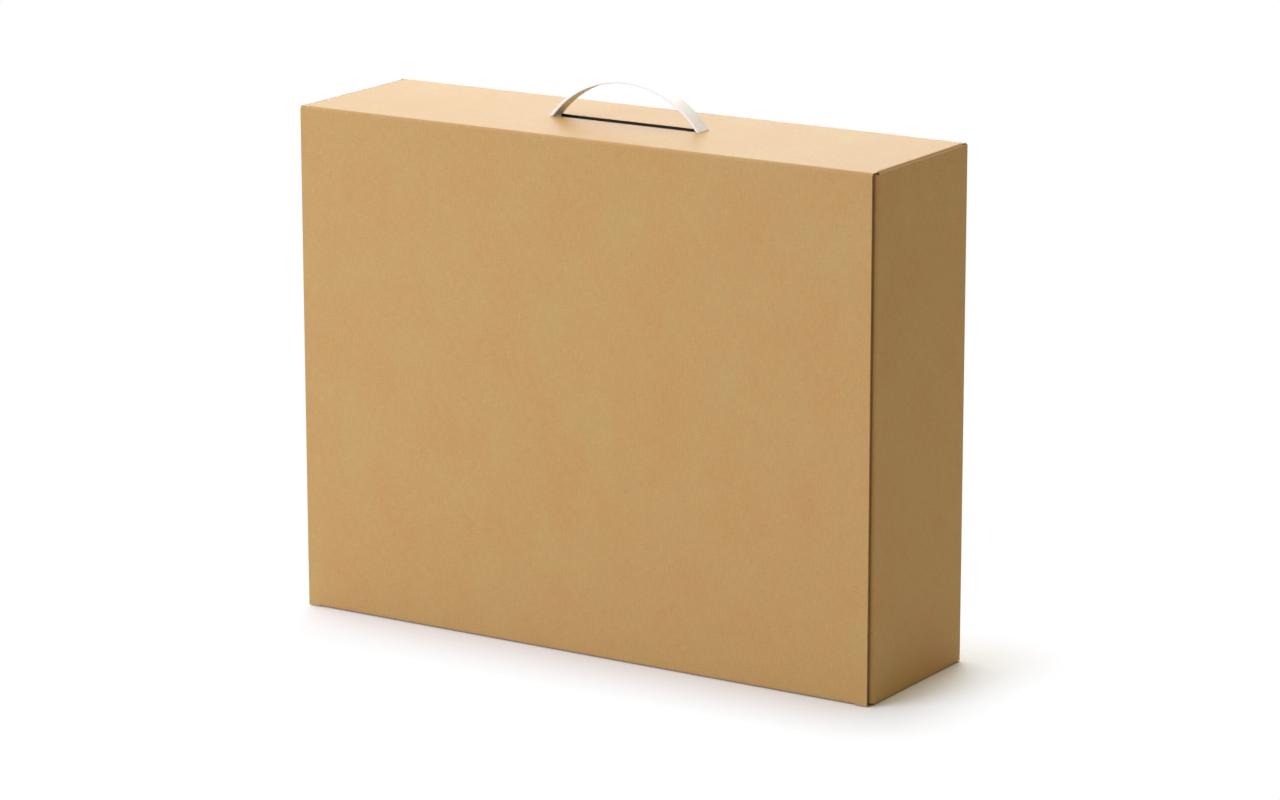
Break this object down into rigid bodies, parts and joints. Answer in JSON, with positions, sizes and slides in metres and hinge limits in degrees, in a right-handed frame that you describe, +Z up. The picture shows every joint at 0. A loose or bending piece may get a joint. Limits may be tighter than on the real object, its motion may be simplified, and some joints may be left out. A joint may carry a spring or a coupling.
{
  "type": "corrugated carrying case with strap handle",
  "caption": "Upright carrying case folded from kraft corrugated board: rolled side walls, a hinged front lid with a tuck flap, and a white strap handle in a slit in the top.",
  "frame": {"origin": "middle of the bottom, on the surface that the case stands on", "axes": "+Z up, the lid faces -Y, the width runs along X"},
  "size_m": [0.48, 0.132, 0.4075],
  "materials": {
    "kraft_board": "matte brown kraft liner with visible fibres",
    "white_plastic": "satin moulded polyethylene"
  },
  "bodies": {
    "case": {"tray": "kraft_board"},
    "lid": {"lid": "kraft_board"},
    "handle": {"carry_handle": "white_plastic"}
  },
  "joints": [
    {"name": "lid_hinge", "type": "hinge", "parent": "case", "child": "lid", "pos_m": [0, -0.066, 0.376], "axis": [-1, 0, 0], "range_deg": [0, 180]},
    {"name": "handle_lift", "type": "slide", "parent": "case", "child": "handle", "axis": [0, 0, 1], "range_m": [0, 0.004]}
  ]
}
